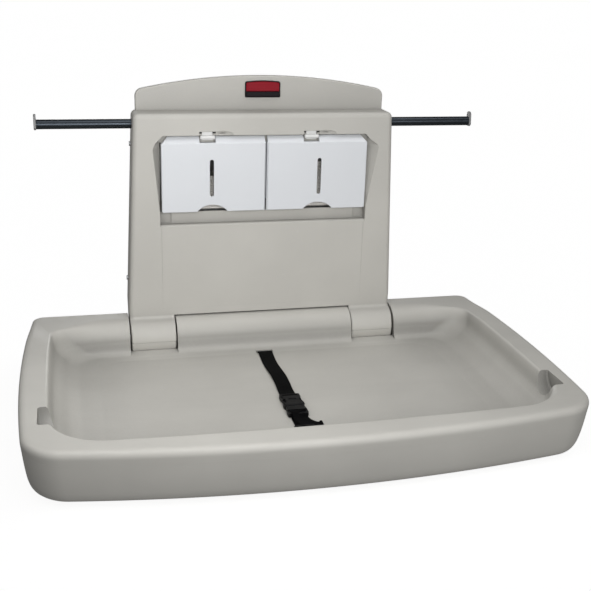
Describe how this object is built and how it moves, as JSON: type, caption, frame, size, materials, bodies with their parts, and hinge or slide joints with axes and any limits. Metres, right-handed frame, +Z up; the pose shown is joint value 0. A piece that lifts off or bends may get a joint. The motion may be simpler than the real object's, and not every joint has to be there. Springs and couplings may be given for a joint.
{
  "type": "changing table",
  "caption": "Wall-mounted fold-down baby changing table: moulded basin bed with safety strap on hinged legs, liner dispenser with doors, and a bag-hook rail.",
  "frame": {"origin": "middle of the four wall bolts, on the wall face", "axes": "+X along the wall to the unit's right as seen from the room, +Y into the wall, +Z up; the room and the opened bed are towards -Y"},
  "size_m": [0.844, 0.5596, 0.5025],
  "materials": {
    "wall_housing": "satin moulded, light warm grey",
    "back_plate": "galvanised and painted",
    "badge_bezel": "smooth",
    "badge_upper": "smooth",
    "badge_lower": "smooth",
    "hook_rail": "drawn tube",
    "rail_cap_left": "satin",
    "rail_cap_right": "satin",
    "rail_clamps": "moulded",
    "liner_bin_left": "satin moulded",
    "liner_bin_right": "satin moulded",
    "liner_stack_left": "folded paper",
    "liner_stack_right": "folded paper",
    "hinge_bracket_left": "galvanised and painted",
    "hinge_bracket_right": "galvanised and painted",
    "hinge_pin_left": "zinc plated",
    "hinge_pin_right": "zinc plated",
    "hinge_cap_left": "satin moulded, light warm grey",
    "hinge_cap_right": "satin moulded, light warm grey",
    "housing_screws": "zinc plated",
    "door_pins": "zinc plated",
    "door_left": "smooth white",
    "door_right": "smooth white",
    "latch_left": "smooth white",
    "latch_right": "smooth white",
    "bed_tray": "satin moulded, light warm grey",
    "bed_underpan": "satin moulded, light warm grey",
    "bed_rear_cover": "satin moulded, light warm grey",
    "hinge_cheek_left": "satin moulded, light warm grey",
    "hinge_cheek_right": "satin moulded, light warm grey",
    "hinge_bushes": "moulded",
    "tray_screws": "zinc plated",
    "stop_bumpers": "soft",
    "strap_back": "woven webbing",
    "strap_front": "woven webbing",
    "strap_anchor_back": "zinc plated",
    "strap_anchor_front": "zinc plated",
    "buckle_socket": "satin black",
    "buckle_plug": "satin black",
    "strap_slider": "satin black"
  },
  "bodies": {
    "wall_unit": {"wall_housing": "wall_housing", "back_plate": "back_plate", "badge_bezel": "badge_bezel", "badge_upper": "badge_upper", "badge_lower": "badge_lower", "hook_rail": "hook_rail", "rail_cap_left": "rail_cap_left", "rail_cap_right": "rail_cap_right", "rail_clamps": "rail_clamps", "liner_bin_left": "liner_bin_left", "liner_bin_right": "liner_bin_right", "liner_stack_left": "liner_stack_left", "liner_stack_right": "liner_stack_right", "hinge_bracket_left": "hinge_bracket_left", "hinge_bracket_right": "hinge_bracket_right", "hinge_pin_left": "hinge_pin_left", "hinge_pin_right": "hinge_pin_right", "hinge_cap_left": "hinge_cap_left", "hinge_cap_right": "hinge_cap_right", "housing_screws": "housing_screws", "door_pins": "door_pins"},
    "door_left": {"door_left": "door_left"},
    "door_right": {"door_right": "door_right"},
    "latch_left": {"latch_left": "latch_left"},
    "latch_right": {"latch_right": "latch_right"},
    "bed": {"bed_tray": "bed_tray", "bed_underpan": "bed_underpan", "bed_rear_cover": "bed_rear_cover", "hinge_cheek_left": "hinge_cheek_left", "hinge_cheek_right": "hinge_cheek_right", "hinge_bushes": "hinge_bushes", "tray_screws": "tray_screws", "stop_bumpers": "stop_bumpers", "strap_back": "strap_back", "strap_front": "strap_front", "strap_anchor_back": "strap_anchor_back", "strap_anchor_front": "strap_anchor_front", "buckle_socket": "buckle_socket", "buckle_plug": "buckle_plug", "strap_slider": "strap_slider"}
  },
  "joints": [
    {"name": "bed_fold", "type": "hinge", "parent": "wall_unit", "child": "bed", "pos_m": [0, -0.048, -0.19], "axis": [1, 0, 0], "range_deg": [-90, 0]},
    {"name": "door_left_swing", "type": "hinge", "parent": "wall_unit", "child": "door_left", "pos_m": [-0.091, -0.05, 0.042], "axis": [1, 0, 0], "range_deg": [0, 60]},
    {"name": "door_right_swing", "type": "hinge", "parent": "wall_unit", "child": "door_right", "pos_m": [0.091, -0.05, 0.042], "axis": [1, 0, 0], "range_deg": [0, 60]},
    {"name": "latch_left_press", "type": "slide", "parent": "wall_unit", "child": "latch_left", "axis": [0, 0, 1], "range_m": [0, 0.004], "stiffness_N_per_m": 250, "springref_m": -0.003},
    {"name": "latch_right_press", "type": "slide", "parent": "wall_unit", "child": "latch_right", "axis": [0, 0, 1], "range_m": [0, 0.004], "stiffness_N_per_m": 250, "springref_m": -0.003}
  ]
}
